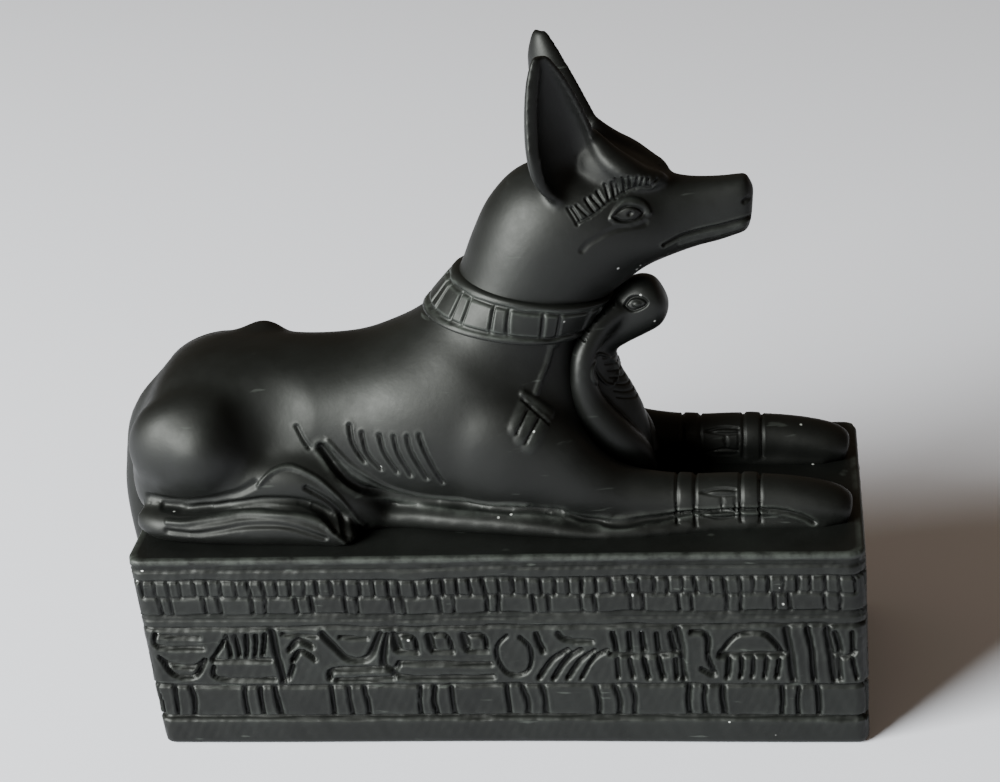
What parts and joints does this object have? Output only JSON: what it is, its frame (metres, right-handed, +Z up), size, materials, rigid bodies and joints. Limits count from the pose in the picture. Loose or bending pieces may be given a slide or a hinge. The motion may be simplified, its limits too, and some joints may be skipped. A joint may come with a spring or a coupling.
{
  "type": "anubis statuette",
  "caption": "Small black resin statuette of a recumbent jackal with tall ears and a collar, a rearing cobra at its chest, on a rectangular plinth with carved bands.",
  "frame": {"origin": "centre of the plinth's flat underside", "axes": "+X along the plinth's length, towards the head and forepaws; +Z up through the figure"},
  "size_m": [0.1061, 0.041, 0.0955],
  "materials": {
    "resin": "satin"
  },
  "bodies": {
    "root": {"anubis_statuette": "resin"}
  },
  "joints": []
}
